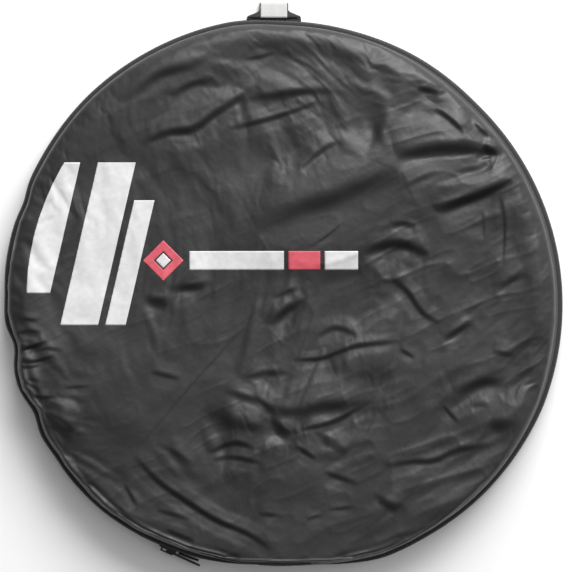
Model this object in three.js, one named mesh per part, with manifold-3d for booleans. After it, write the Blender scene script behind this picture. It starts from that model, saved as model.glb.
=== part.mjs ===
// A collapsible photographic reflector, folded to three hoops and zipped into its round pouch.
// Units are millimetres. The pouch lies on its back: +Z is up through the front panel, +Y points at the
// hanging loop, and the origin is the centre of the back panel's underside.
// The zip runs round the rim from one end of the bottom fold, past the loop, to the other end. Above the
// fold the front panel is a flap that opens, and the folded reflector then slides out towards the loop.
import * as THREE from "three";
import { mergeVertices } from "three/addons/utils/BufferGeometryUtils.js";
import Module from "manifold-3d";

const wasm = await Module();
wasm.setup();

// ---- Driving dimensions -------------------------------------------------------------------------------
const RIM_R = 194; // outside of the back binding
const FLAT_Y = -187.5; // the rim is cut straight here, along the bottom fold
const THICKNESS = 36; // whole pouch, filled
const CLOTH = 1; // nylon with its coating and seam allowance, as one plain layer
const GAP = 0.3; // clearance that separate solids keep

const BINDING_W = 4.5; // width of the back binding
const BINDING_H = 2.8;
const ZIP_R = 191; // radius of the zip's centre line
const ZIP_Z = 8; // height of the zip's centre line
const CHAIN_T = 2.5; // radial thickness of one row of teeth
const CHAIN_H = 2; // height of one row of teeth
const CHAIN_SPLIT = 1; // gap between the two rows, which the slider's post runs in
const TAPE_T = 0.8;
const LOWER_TAPE_H = 2.1;
const UPPER_TAPE_H = 2.4;
const PIPING = { inner: 188.6, outer: 192, height: 2.6 };

const FOLD_Y = -171; // the line that the flap folds about
const FLAP_END = 62.6; // degrees below the X axis where the flap's zip stops
const STUB_START = 63.6; // and where the fixed ends of the zip begin
const ZIP_END = 68.2; // and where the teeth end
const SLIDER_PARK = 65.6; // and where the slider stands at either end of its run

const PARTING = 0.15; // half of the gap along the fold
const RING_R = 175; // mean radius of the three hoops
const RING_Y = -5; // the coil sits towards the fold
const STEEL = { height: 7, thickness: 0.8 };
const SLEEVE = { height: 9.6, depth: 4, wall: 0.8 };
const WEAVE_R = 4; // how far the hoops weave in and out
const WEAVE_Z = 7.5; // and up and down
const RING_STEPS = 120; // straight steps in the coil, three turns

const LOOP = { x: -6, width: 20, base: 38, reach: 10.6, low: 1, high: 3.9, cloth: 0.9 };
const LABEL = { width: 18.5, reach: 11.8, low: 0.2, high: 4.7, cloth: 0.5 };

const ARC_STEPS = 60; // straight steps in a long arc

// ---- Materials ----------------------------------------------------------------------------------------
const paint = (color, roughness, metalness = 0) =>
  new THREE.MeshStandardMaterial({ color, roughness, metalness });
const nylon = paint(0x3a3a3b, 0.55);
const webbing = paint(0x2a2a2b, 0.8);
const tape = paint(0x262627, 0.8);
const teeth = paint(0x1d1d1e, 0.4);
const satin = paint(0xf2f2f0, 0.5);
const whitePrint = paint(0xf1f1f1, 0.5);
const coralPrint = paint(0xf0606c, 0.5);
const blackMetal = paint(0x202124, 0.35, 0.8);
const springSteel = paint(0x8f9296, 0.35, 1);
const silverCloth = paint(0xbfc2c6, 0.3, 0.6);
const whiteCloth = paint(0xeeeeec, 0.6);

// ---- Helpers ------------------------------------------------------------------------------------------
const rad = THREE.MathUtils.degToRad;
const pouch = new THREE.Group();

function addPart(name, geometry, material) {
  const mesh = new THREE.Mesh(geometry, material);
  mesh.name = name;
  pouch.add(mesh);
  return mesh;
}

// A closed geometry as a manifold solid, for cutting and joining.
function solid(geometry) {
  const bare = geometry.clone();
  bare.deleteAttribute("normal");
  bare.deleteAttribute("uv");
  const merged = mergeVertices(bare, 1e-4);
  return new wasm.Manifold(
    new wasm.Mesh({
      numProp: 3,
      vertProperties: new Float32Array(merged.attributes.position.array),
      triVerts: new Uint32Array(merged.index.array),
    }),
  );
}

// A manifold solid as a three.js geometry.
function geometryOf(body) {
  const mesh = body.getMesh();
  const stride = mesh.numProp;
  const positions = new Float32Array(mesh.numVert * 3);
  for (let i = 0; i < mesh.numVert; i++) {
    positions.set(mesh.vertProperties.subarray(i * stride, i * stride + 3), i * 3);
  }
  return new THREE.BufferGeometry()
    .setAttribute("position", new THREE.BufferAttribute(positions, 3))
    .setIndex(new THREE.BufferAttribute(new Uint32Array(mesh.triVerts), 1));
}

// A box given by its lowest and highest corners.
function block([x0, y0, z0], [x1, y1, z1]) {
  return new THREE.BoxGeometry(x1 - x0, y1 - y0, z1 - z0).translate(
    (x0 + x1) / 2,
    (y0 + y1) / 2,
    (z0 + z1) / 2,
  );
}

// The part of a solid between two Y values.
function sliceY(body, from, to) {
  const far = 400;
  return body.intersect(solid(block([-far, from, -far], [far, to, far])));
}

// A flat shape raised between two heights.
function raise(shape, low, high, steps = ARC_STEPS) {
  return new THREE.ExtrudeGeometry(shape, {
    depth: high - low,
    bevelEnabled: false,
    curveSegments: steps,
  }).translate(0, 0, low);
}

// A band of a ring about the Z axis, from one angle to another in degrees.
function arcBand(inner, outer, from, to, low, high) {
  const steps = Math.max(2, Math.round((ARC_STEPS * Math.abs(to - from)) / 360));
  const shape = new THREE.Shape();
  shape.absarc(0, 0, outer, rad(from), rad(to), false);
  shape.absarc(0, 0, inner, rad(to), rad(from), true);
  shape.closePath();
  return raise(shape, low, high, steps);
}

// A circle of this radius with its bottom cut straight at y = flat.
function cutCircle(radius, flat, Path = THREE.Shape) {
  const start = Math.asin(flat / radius);
  const path = new Path();
  path.absarc(0, 0, radius, start, Math.PI - start, false);
  path.closePath();
  return path;
}

// A ring between two such outlines.
function cutRing(inner, outer, innerFlat, outerFlat, low, high) {
  const shape = cutCircle(outer, outerFlat);
  shape.holes.push(cutCircle(inner, innerFlat, THREE.Path));
  return raise(shape, low, high);
}

// A profile of [radius, height] points turned about the Z axis.
function turn(profile, steps = ARC_STEPS) {
  const points = profile.map(([r, z]) => new THREE.Vector2(r, z));
  return new THREE.LatheGeometry(points, steps).rotateX(Math.PI / 2);
}

// ---- Back of the pouch --------------------------------------------------------------------------------
function addBack() {
  const panelR = RIM_R - BINDING_W - GAP;
  const panelFlat = FLAT_Y + BINDING_W;
  addPart("back_panel", raise(cutCircle(panelR, panelFlat), 0, CLOTH), nylon);
  addPart(
    "back_binding",
    cutRing(panelR + GAP, RIM_R, panelFlat - GAP, FLAT_Y, 0, BINDING_H),
    webbing,
  );
}

// ---- Zip ----------------------------------------------------------------------------------------------
const LEFT = (below) => 180 + below; // an angle below the X axis, on the left
const chainIn = ZIP_R - CHAIN_T / 2;
const chainOut = ZIP_R + CHAIN_T / 2;
const tapeIn = ZIP_R - TAPE_T / 2;
const tapeOut = ZIP_R + TAPE_T / 2;
const lowerChainTop = ZIP_Z - CHAIN_SPLIT / 2;
const lowerChainBase = lowerChainTop - CHAIN_H;
const upperChainBase = ZIP_Z + CHAIN_SPLIT / 2;
const upperChainTop = upperChainBase + CHAIN_H;
const lowerTapeTop = lowerChainBase - GAP;
const lowerTapeBase = lowerTapeTop - LOWER_TAPE_H;
const upperTapeBase = upperChainTop + GAP;
const upperTapeTop = upperTapeBase + UPPER_TAPE_H;
const pipingBase = upperTapeTop + GAP;
const pipingTop = pipingBase + PIPING.height;

function addZip() {
  const whole = [-ZIP_END, LEFT(ZIP_END)];
  const flap = [-FLAP_END, LEFT(FLAP_END)];
  addPart("lower_zip_tape", arcBand(tapeIn, tapeOut, ...whole, lowerTapeBase, lowerTapeTop), tape);
  addPart(
    "lower_zip_chain",
    arcBand(chainIn, chainOut, ...whole, lowerChainBase, lowerChainTop),
    teeth,
  );
  addPart("upper_zip_tape", arcBand(tapeIn, tapeOut, ...flap, upperTapeBase, upperTapeTop), tape);
  addPart(
    "upper_zip_chain",
    arcBand(chainIn, chainOut, ...flap, upperChainBase, upperChainTop),
    teeth,
  );
  const ends = {
    right: [-ZIP_END, -STUB_START],
    left: [LEFT(STUB_START), LEFT(ZIP_END)],
  };
  for (const [side, span] of Object.entries(ends)) {
    const row = solid(arcBand(chainIn, chainOut, ...span, upperChainBase, upperChainTop));
    const web = solid(arcBand(tapeIn, tapeOut, ...span, upperChainTop - 0.1, upperTapeTop));
    addPart(`zip_end_${side}`, geometryOf(row.add(web)), tape);
  }
}

// Stops crimped past the last teeth, and the cloth tabs sewn over both ends of the zip.
function addStops() {
  const from = ZIP_END + 0.12;
  const to = from + 0.7;
  const stopIn = chainIn - 0.3;
  const stopOut = chainOut + 0.3;
  addPart(
    "zip_bottom_stop",
    arcBand(stopIn, stopOut, LEFT(from), LEFT(to), lowerChainBase, upperChainTop),
    blackMetal,
  );
  addPart(
    "zip_top_stop_lower",
    arcBand(stopIn, stopOut, -to, -from, lowerChainBase, lowerChainTop),
    blackMetal,
  );
  addPart(
    "zip_top_stop_upper",
    arcBand(stopIn, stopOut, -to, -from, upperChainBase, upperChainTop),
    blackMetal,
  );
  const tabIn = stopOut + GAP;
  const tabs = {
    right: [-ZIP_END - 4.2, -ZIP_END + 0.2],
    left: [LEFT(ZIP_END - 0.2), LEFT(ZIP_END + 4.2)],
  };
  for (const [side, span] of Object.entries(tabs)) {
    addPart(
      `zip_end_tab_${side}`,
      arcBand(tabIn, tabIn + 0.8, ...span, lowerTapeBase, upperTapeTop),
      webbing,
    );
  }
}

// The slider is made where +X is away from the pouch, with the zip running along Y, then turned into place.
const plateOut = ZIP_R + 2.9;
const ARCH_LIFT = 2.6;
const pivotR = plateOut + 0.95;

function sliderBody() {
  const length = 12.6;
  const height = 8.2;
  const channel = 1.95; // half of the space between the plates
  const slot = 1.05; // half of the slot that the tapes run in
  const low = ZIP_Z - height / 2;
  const high = ZIP_Z + height / 2;
  const half = length / 2;
  const shell = solid(block([ZIP_R - 2.9, -half, low], [plateOut, half, high]));
  const chainRoom = solid(
    block(
      [ZIP_R - channel, -length, lowerChainBase - GAP],
      [ZIP_R + channel, length, upperChainTop + GAP],
    ),
  );
  const tapeSlot = solid(block([ZIP_R - slot, -length, low - 1], [ZIP_R + slot, length, high + 1]));
  const post = solid(block([ZIP_R - 2.6, -3, ZIP_Z - 0.2], [ZIP_R + 2.6, 3, ZIP_Z + 0.2]));
  const arch = solid(
    block([plateOut - 0.2, -4.6, ZIP_Z - 0.8], [plateOut + ARCH_LIFT, 4.6, ZIP_Z + 0.8]),
  );
  const window = solid(
    block([plateOut, -3.4, ZIP_Z - 2], [plateOut + ARCH_LIFT - 0.8, 3.4, ZIP_Z + 2]),
  );
  return shell
    .subtract(chainRoom)
    .subtract(tapeSlot)
    .add(post)
    .add(arch.subtract(window));
}

// The pull turns on its own crossbar, which stands upright in the slider's arch.
function pullTab() {
  const bar = solid(
    new THREE.CylinderGeometry(0.6, 0.6, 4.4, 12).rotateX(Math.PI / 2).translate(pivotR, 0, ZIP_Z),
  );
  const arms = [-1, 1].map((side) =>
    solid(
      block(
        [pivotR - 0.6, -0.6, ZIP_Z + side * 1.7 - 0.5],
        [pivotR + 0.6, 7.5, ZIP_Z + side * 1.7 + 0.5],
      ),
    ),
  );
  const outline = new THREE.Shape();
  outline.moveTo(5.4, -2.2);
  outline.lineTo(22.5, -2.7);
  outline.absarc(22.5, 0, 2.7, -Math.PI / 2, Math.PI / 2, false);
  outline.lineTo(5.4, 2.2);
  outline.closePath();
  const plate = new THREE.ExtrudeGeometry(outline, {
    depth: 1.2,
    bevelEnabled: false,
    curveSegments: 10,
  })
    .rotateZ(Math.PI / 2)
    .rotateY(Math.PI / 2)
    .translate(pivotR - 0.6, 0, ZIP_Z);
  return bar.add(arms[0]).add(arms[1]).add(solid(plate));
}

function addSlider() {
  const angle = rad(LEFT(SLIDER_PARK));
  addPart("zip_slider", geometryOf(sliderBody()), blackMetal).rotation.z = angle;
  addPart("zip_pull", geometryOf(pullTab()), blackMetal).rotation.z = angle;
}

// ---- Front of the pouch -------------------------------------------------------------------------------
const panelBase = pipingTop + GAP;
const domeOuter = [
  [190.2, panelBase],
  [190, 25],
  [188.6, 31],
  [184.8, 34.8],
  [178, THICKNESS],
];
const domeInner = [
  [177.8, THICKNESS - CLOTH],
  [184.2, THICKNESS - CLOTH - 1.1],
  [187.7, 30.4],
  [189, 24.8],
  [189.2, panelBase],
];

// The whole front panel as one turned shell, before it is parted at the fold.
function frontShell() {
  const profile = [...domeOuter, [0, THICKNESS], [0, THICKNESS - CLOTH], ...domeInner];
  return solid(turn([...profile, profile[0]]));
}

function addFront() {
  const shell = frontShell();
  addPart("front_panel", geometryOf(sliceY(shell, FOLD_Y + PARTING, RIM_R)), nylon);
  const wallY = FLAT_Y + GAP; // outside face of the bottom wall
  const wallIn = wallY + CLOTH;
  addPart(
    "front_panel_hem",
    geometryOf(sliceY(shell, wallIn + GAP, FOLD_Y - PARTING)),
    nylon,
  );
  const band = (from, to) =>
    arcBand(PIPING.inner, PIPING.outer, from, to, pipingBase, pipingTop);
  addPart("front_piping", band(-FLAP_END, LEFT(FLAP_END)), webbing);
  const hemPiping = solid(arcBand(PIPING.inner, PIPING.outer, 180, 360, pipingBase, pipingTop));
  const hemArcs = sliceY(hemPiping, wallIn + GAP, -PIPING.outer * Math.sin(rad(STUB_START)));
  for (const [side, from, to] of [["left", -400, 0], ["right", 0, 400]]) {
    const half = solid(block([from, -400, -400], [to, 400, 400]));
    addPart(`hem_piping_${side}`, geometryOf(hemArcs.intersect(half)), webbing);
  }
  // The wall that closes the rim between the two ends of the zip.
  const low = solid(
    cutRing(ZIP_R - 0.6, ZIP_R + 0.6, wallIn, wallY, lowerTapeBase, upperTapeTop),
  );
  const tall = solid(block([-36, wallY, lowerTapeBase], [36, wallIn, 33.4]));
  const belowStops = -ZIP_R * Math.sin(rad(ZIP_END + 1.6));
  addPart(
    "bottom_gusset",
    geometryOf(sliceY(low, -RIM_R, belowStops).add(tall)),
    nylon,
  );
}

// ---- Print on the front panel: plain bars, a diamond and a rule ----------------------------------------
const PRINT_T = 0.3;
const PRINT_R = 176; // the flat of the panel, which the print stays on

function printPlate(points, hole) {
  const shape = new THREE.Shape(points.map(([x, y]) => new THREE.Vector2(x, y)));
  if (hole) shape.holes.push(new THREE.Path(hole.map(([x, y]) => new THREE.Vector2(x, y))));
  const base = THICKNESS + GAP;
  const plate = solid(raise(shape, base, base + PRINT_T));
  const field = new THREE.CylinderGeometry(PRINT_R, PRINT_R, 10, 90)
    .rotateX(Math.PI / 2)
    .translate(0, 0, THICKNESS);
  return plate.intersect(solid(field));
}

const diamond = (x, y, r) => [
  [x + r, y],
  [x, y + r],
  [x - r, y],
  [x, y - r],
];
const rectangle = (x0, x1, y0, y1) => [
  [x0, y0],
  [x1, y0],
  [x1, y1],
  [x0, y1],
];

// Three leaning bars by the left edge.
function addBars() {
  const lean = 26; // how far the top of a bar leans to the right
  const bars = [
    { x: -186, width: 26, y0: 2, y1: 92 },
    { x: -153, width: 26, y0: -20, y1: 92 },
    { x: -122, width: 14, y0: -20, y1: 66 },
  ];
  bars.forEach(({ x, width, y0, y1 }, i) => {
    const shift = (lean * (y1 - y0)) / 112;
    const outline = [
      [x, y0],
      [x + width, y0],
      [x + width + shift, y1],
      [x + shift, y1],
    ];
    addPart(`print_bar_${i + 1}`, geometryOf(printPlate(outline)), whitePrint);
  });
}

function addMark() {
  const [x, y] = [-82, 24.5];
  addPart(
    "print_diamond",
    geometryOf(printPlate(diamond(x, y, 14), diamond(x, y, 6.5).reverse())),
    coralPrint,
  );
  addPart("print_diamond_core", geometryOf(printPlate(diamond(x, y, 5.2))), whitePrint);
  const rule = [18, 31];
  addPart("print_rule_long", geometryOf(printPlate(rectangle(-64, 1, ...rule))), whitePrint);
  addPart("print_rule_accent", geometryOf(printPlate(rectangle(4, 26, ...rule))), coralPrint);
  addPart("print_rule_short", geometryOf(printPlate(rectangle(29, 52, ...rule))), whitePrint);
}

// ---- Hanging loop -------------------------------------------------------------------------------------
// Cloth folded back on itself: a flat U seen from the side, open towards the pouch.
function foldedCloth({ reach, low, high, cloth }, width, start) {
  const radius = (high - low) / 2;
  const middle = (high + low) / 2;
  const bend = start + reach - radius;
  const side = new THREE.Shape();
  side.moveTo(start, low);
  side.lineTo(bend, low);
  side.absarc(bend, middle, radius, -Math.PI / 2, Math.PI / 2, false);
  side.lineTo(start, high);
  side.lineTo(start, high - cloth);
  side.absarc(bend, middle, radius - cloth, Math.PI / 2, -Math.PI / 2, true);
  side.lineTo(start, low + cloth);
  side.closePath();
  return solid(
    new THREE.ExtrudeGeometry(side, { depth: width, bevelEnabled: false, curveSegments: 8 })
      .translate(0, 0, -width / 2)
      .rotateZ(Math.PI / 2)
      .rotateY(Math.PI / 2),
  );
}

function addLoop() {
  const start = RIM_R + GAP;
  const strap = foldedCloth(LOOP, LOOP.base, start);
  // Seen from above the strap widens towards the seam.
  const plan = new THREE.Shape();
  plan.moveTo(-LOOP.base / 2, start - 1);
  plan.lineTo(-LOOP.base / 2, start + 0.6);
  plan.quadraticCurveTo(-LOOP.width / 2 - 2, start + 2.4, -LOOP.width / 2, start + 8);
  plan.lineTo(-LOOP.width / 2, start + LOOP.reach + 1);
  plan.lineTo(LOOP.width / 2, start + LOOP.reach + 1);
  plan.lineTo(LOOP.width / 2, start + 8);
  plan.quadraticCurveTo(LOOP.width / 2 + 2, start + 2.4, LOOP.base / 2, start + 0.6);
  plan.lineTo(LOOP.base / 2, start - 1);
  plan.closePath();
  const cutter = solid(raise(plan, -5, 15, 6));
  const label = foldedCloth(LABEL, LABEL.width, start);
  addPart("hang_loop", geometryOf(strap.intersect(cutter)), webbing).position.x = LOOP.x;
  addPart("loop_label", geometryOf(label), satin).position.x = LOOP.x;
}

// ---- Folded reflector ---------------------------------------------------------------------------------
const RING_TOP = 33.2; // leaves the coil room to start up its slope under the hem
const RING_Z = RING_TOP - WEAVE_Z - SLEEVE.height / 2;

// The steel hoop, three times round: at every place its three strands stand evenly about a small ellipse.
class CoiledHoop extends THREE.Curve {
  constructor(endGap) {
    super();
    this.skip = endGap / 2 / (3 * RING_R); // what is left open at each end, as an angle
  }
  getPoint(u, target = new THREE.Vector3()) {
    const t = this.skip + u * (2 * Math.PI - 2 * this.skip);
    const around = 3 * t - Math.PI / 2;
    const r = RING_R + WEAVE_R * Math.sin(t);
    return target.set(
      r * Math.cos(around),
      RING_Y + r * Math.sin(around),
      RING_Z - WEAVE_Z * Math.cos(t),
    );
  }
}

// Sweeps a section along the hoop. In the section X is up and down and +Y points at the middle.
function sweepHoop(section, endGap) {
  const path = new CoiledHoop(endGap);
  path.arcLengthDivisions = 2000;
  return new THREE.ExtrudeGeometry(section, {
    steps: RING_STEPS,
    bevelEnabled: false,
    extrudePath: path,
  });
}

function addRing() {
  const { height: h, thickness: t } = STEEL;
  const strip = new THREE.Shape(
    rectangle(-h / 2, h / 2, -t / 2, t / 2).map(([x, y]) => new THREE.Vector2(x, y)),
  );
  addPart("spring_steel_ring", sweepHoop(strip, 1), springSteel);
  // Edging tape folded over the steel, open towards the cloth.
  const { height: H, depth: D, wall } = SLEEVE;
  const channel = [
    [-H / 2, -D / 2],
    [H / 2, -D / 2],
    [H / 2, D / 2],
    [H / 2 - wall, D / 2],
    [H / 2 - wall, -D / 2 + wall],
    [-H / 2 + wall, -D / 2 + wall],
    [-H / 2 + wall, D / 2],
    [-H / 2, D / 2],
  ];
  const edging = new THREE.Shape(channel.map(([x, y]) => new THREE.Vector2(x, y)));
  addPart("ring_edging", sweepHoop(edging, 20), webbing);
  // The ferrule that joins the two ends of the steel, in the gap of the edging.
  const centre = [0, RING_Y - RING_R, RING_Z - WEAVE_Z];
  const outer = block([-7, -1.9, -4.7], [7, 1.9, 4.7]).translate(...centre);
  const bore = block([-8, -1.3, -4], [8, 1.3, 4]).translate(...centre);
  addPart("ring_ferrule", geometryOf(solid(outer).subtract(solid(bore))), springSteel);
}

// The cloth of the disc, folded inside the hoops: silver face above, white face below.
function addCloth() {
  const edgeR = 167;
  const part = 0.15;
  const silver = [
    [0, RING_Z + part],
    [edgeR, RING_Z + part],
    [165, 27.5],
    [155, 31.5],
    [120, 33.4],
    [0, 34],
  ];
  const white = [
    [0, 1.3],
    [108, 1.5],
    [140, 3.6],
    [155, 7],
    [165, 14],
    [edgeR, RING_Z - part],
    [0, RING_Z - part],
  ];
  addPart("silver_face", turn(silver, 48).translate(0, RING_Y, 0), silverCloth);
  addPart("white_face", turn(white, 48).translate(0, RING_Y, 0), whiteCloth);
}

addBack();
addZip();
addStops();
addSlider();
addFront();
addBars();
addMark();
addLoop();
addRing();
addCloth();

export default pouch;
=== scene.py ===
"""The folded reflector in its round nylon pouch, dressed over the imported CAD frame.

Lengths are written in millimetres and turned into metres where meshes are made. Angles round the rim
are in degrees, anticlockwise from +X seen from above.
"""

import math

import bmesh
import bpy
import numpy as np
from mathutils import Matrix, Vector
from mathutils.bvhtree import BVHTree


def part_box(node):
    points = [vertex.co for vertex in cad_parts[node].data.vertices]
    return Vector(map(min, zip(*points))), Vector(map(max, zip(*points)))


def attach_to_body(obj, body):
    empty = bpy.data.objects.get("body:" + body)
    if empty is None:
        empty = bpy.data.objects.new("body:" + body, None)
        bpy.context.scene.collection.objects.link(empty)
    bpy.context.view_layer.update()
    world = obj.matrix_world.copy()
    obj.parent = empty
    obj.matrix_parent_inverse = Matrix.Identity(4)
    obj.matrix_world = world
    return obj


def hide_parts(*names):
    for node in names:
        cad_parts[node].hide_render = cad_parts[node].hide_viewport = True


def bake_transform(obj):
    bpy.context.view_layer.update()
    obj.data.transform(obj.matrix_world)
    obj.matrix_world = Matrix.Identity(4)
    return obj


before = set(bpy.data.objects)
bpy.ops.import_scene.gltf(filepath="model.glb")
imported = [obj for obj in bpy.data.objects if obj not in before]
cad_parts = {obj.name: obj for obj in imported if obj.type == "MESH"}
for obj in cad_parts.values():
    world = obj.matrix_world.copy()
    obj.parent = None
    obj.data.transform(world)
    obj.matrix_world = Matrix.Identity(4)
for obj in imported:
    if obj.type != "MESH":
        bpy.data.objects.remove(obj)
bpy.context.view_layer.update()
MM = 0.001


# ---- Sizes read from the CAD ---------------------------------------------------------------------
def corners(node):
    """Lowest and highest corner of a CAD node, in millimetres."""
    low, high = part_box(node)
    return np.array(low) / MM, np.array(high) / MM


BIND_LOW, BIND_HIGH = corners("back_binding")
RIM_R, FLAT_Y, BIND_TOP = BIND_HIGH[0], BIND_LOW[1], BIND_HIGH[2]
PIPE_LOW, PIPE_HIGH = corners("front_piping")
CHAIN_LOW, CHAIN_HIGH = corners("lower_zip_chain")
UP_CHAIN_LOW, UP_CHAIN_HIGH = corners("upper_zip_chain")
LOOP_LOW, LOOP_HIGH = corners("hang_loop")
LABEL_LOW, LABEL_HIGH = corners("loop_label")
EDGING_LOW, EDGING_HIGH = corners("ring_edging")
PANEL_TOP = corners("front_panel")[1][2]
ZIP_R = (corners("lower_zip_tape")[1][0] + CHAIN_HIGH[0]) / 2 - 0.8  # the middle of tape and teeth

# Places on the rim, in degrees below the X axis on either side.
FLAP_END = 63.1  # the flap's rim stops
PARKED = 65.6  # the slider stands
ZIP_END = 68.2  # the zip's teeth stop

# The steel's coil: its mean radius and centre, and how far its hoops weave outwards and upwards.
RING_R, RING_Y, WEAVE_R, WEAVE_Z = 175.0, -5.0, 4.0, 7.5
RING_Z = (EDGING_LOW[2] + EDGING_HIGH[2]) / 2
CLOTH = 0.5  # the cloth's thickness, thicker than real nylon so that it shades well


# ---- Numbers -------------------------------------------------------------------------------------
def smoothstep(low, high, x):
    t = np.clip((x - low) / (high - low), 0, 1)
    return t * t * (3 - 2 * t)


def noise(x, y, scale, seed):
    """Smooth noise from -1 to 1 with features about scale across."""
    rows = np.random.default_rng(seed).uniform(-1, 1, (128, 128))
    u, v = x / scale, y / scale
    i, j = np.floor(u).astype(int), np.floor(v).astype(int)
    a, b = u - i, v - j
    a, b = a * a * a * (a * (a * 6 - 15) + 10), b * b * b * (b * (b * 6 - 15) + 10)
    i0, j0, i1, j1 = i % 128, j % 128, (i + 1) % 128, (j + 1) % 128
    low = rows[i0, j0] * (1 - a) + rows[i1, j0] * a
    high = rows[i0, j1] * (1 - a) + rows[i1, j1] * a
    return low * (1 - b) + high * b


def smooth_line(points, step=3.0):
    """A Catmull-Rom curve through a few points, cut about every step."""
    p = np.array(points, float)
    p = np.vstack([2 * p[0] - p[1], p, 2 * p[-1] - p[-2]])
    out = []
    for a, b, c, d in zip(p[:-3], p[1:-2], p[2:-1], p[3:]):
        n = max(1, int(np.linalg.norm(c - b) / step))
        for t in np.arange(n) / n:
            out.append(
                0.5 * (2 * b + (c - a) * t + (2 * a - 5 * b + 4 * c - d) * t**2
                       + (3 * b - a - 3 * c + d) * t**3)
            )
    return np.array(out + [p[-2]])


# ---- The rim's outline ---------------------------------------------------------------------------
# How far the gathered rim stands out from the circle, in degrees and millimetres.
RIM_OFFSETS = [
    (0, 1.8), (15, 0.2), (30, -1.4), (45, -2.8), (60, -2.0), (75, -2.2), (90, -1.6), (100, 1.2),
    (120, 1.2), (135, 1.4), (150, 0.6), (156, 0.7), (160, -2.0), (164, 0.2), (174, 0.9),
    (180, 0.2), (186, 1.4), (190.5, -4.6), (195, 1.0), (200, 1.9), (205, -2.8), (210, 1.7),
    (215, 0.6), (220, 1.9), (230, 2.2), (240, 0.9), (248, -0.9), (256, -2.0), (264, -1.5),
    (276, -0.6), (284, 0.2), (291, 2.2), (300, 2.2), (315, 3.4), (337, 4.0), (350, 2.8),
]
RIM_ANGLES = np.arange(0, 360, 0.5)


def smoothed_rim():
    """The rim's offset at each of RIM_ANGLES, with its corners rounded over about 3 degrees."""
    straight = np.interp(RIM_ANGLES, *np.array(RIM_OFFSETS).T, period=360)
    spread = np.exp(-0.5 * (np.arange(-12, 13) / 3.0) ** 2)
    count = len(RIM_ANGLES)
    return np.convolve(np.tile(straight, 3), spread / spread.sum(), "same")[count:2 * count]


SMOOTHED_RIM = smoothed_rim()


def rim_offset(deg):
    return np.interp(np.asarray(deg) % 360, RIM_ANGLES, SMOOTHED_RIM, period=360)


def zip_offset(deg):
    """The rim's offset, eased out where the slider parks."""
    deg = np.asarray(deg) % 360
    from_slider = np.minimum(abs(deg - 180 - PARKED), abs(deg - 360 + PARKED))
    return rim_offset(deg) * smoothstep(6, 16, from_slider)


def downward(deg):
    """How much an angle points at the straight bottom: 1 straight down, and never quite 0."""
    return np.maximum(-np.sin(np.radians(deg)), 1e-3)


def away(deg, centre):
    """How many degrees an angle is from another, either way round."""
    return abs((deg - centre + 180) % 360 - 180)


def rim_radius(deg, inset, offset=rim_offset, flat_inset=None):
    """Distance from the centre to the outline drawn in by inset, with its bottom cut straight."""
    deg = np.asarray(deg, float)
    round_part = RIM_R + offset(deg) - inset
    cut = min(inset, 0.7) if flat_inset is None else flat_inset
    flat_part = (-FLAT_Y - cut) / downward(deg)
    soft = 2.0  # rounds the corners between the arc and the cut
    gap = np.clip((round_part - flat_part) / soft, -30, 30)
    return round_part - soft * np.log1p(np.exp(gap)) * (flat_part < 1e4)


# ---- Mesh building -------------------------------------------------------------------------------
def make_object(name, verts_mm, faces, material):
    mesh = bpy.data.meshes.new(name)
    mesh.from_pydata((np.asarray(verts_mm) * MM).tolist(), [], faces)
    mesh.validate()
    mesh.update()
    mesh.shade_smooth()
    obj = bpy.data.objects.new(name, mesh)
    bpy.context.scene.collection.objects.link(obj)
    obj.data.materials.append(material)
    return obj


def grid_faces(rows, cols, wrap_rows=False, wrap_cols=False):
    """Faces over rows of points, joined up at either end if it wraps."""
    faces = []
    for i in range(rows if wrap_rows else rows - 1):
        for j in range(cols if wrap_cols else cols - 1):
            a, b = i * cols + j, i * cols + (j + 1) % cols
            c, d = (i + 1) % rows * cols + (j + 1) % cols, (i + 1) % rows * cols + j
            faces.append((a, d, c, b))
    return faces


def closed_column(base, rows, cols):
    """Faces of a small closed column of rings, whose first point is number base."""
    faces = []
    for i in range(rows - 1):
        for j in range(cols):
            a, b = base + i * cols + j, base + i * cols + (j + 1) % cols
            faces.append((a, b, b + cols, a + cols))
    faces.append(tuple(base + j for j in reversed(range(cols))))
    faces.append(tuple(base + (rows - 1) * cols + j for j in range(cols)))
    return faces


def tube(name, verts, rows, cols, material, closed=False):
    """A closed surface from rows of points, each row a closed section of cols points."""
    faces = grid_faces(rows, cols, wrap_rows=closed, wrap_cols=True)
    if not closed:
        faces.append(tuple(range(cols)))
        faces.append(tuple(reversed(range((rows - 1) * cols, rows * cols))))
    obj = make_object(name, verts, faces, material)
    fix_normals(obj)
    return obj


def rim_band(name, section, start, end, step, material, offset=rim_offset):
    """Sweeps a closed section of (inset, height) points round the rim, from start to end."""
    closed = abs(end - start) >= 359.9
    count = int(abs(end - start) / step) + (0 if closed else 1)
    degs = start + (end - start) * np.arange(count) / (count if closed else count - 1)
    verts = []
    for deg in degs:
        a = math.radians(deg)
        for inset, z in section:
            r = float(rim_radius(deg, inset, offset))
            verts.append((r * math.cos(a), r * math.sin(a), z))
    return tube(name, verts, count, len(section), material, closed)


def fix_normals(obj):
    bm = bmesh.new()
    bm.from_mesh(obj.data)
    bmesh.ops.recalc_face_normals(bm, faces=bm.faces)
    bm.to_mesh(obj.data)
    bm.free()


def face_up(obj):
    """Turns a sheet's faces upwards."""
    fix_normals(obj)
    if obj.data.polygons[len(obj.data.polygons) // 2].normal.z < 0:
        obj.data.flip_normals()


def keep_shape(obj):
    """Turns an object's modified shape into its own mesh."""
    now = obj.evaluated_get(bpy.context.evaluated_depsgraph_get())
    mesh = bpy.data.meshes.new_from_object(now)
    obj.modifiers.clear()
    obj.data = mesh


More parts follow.
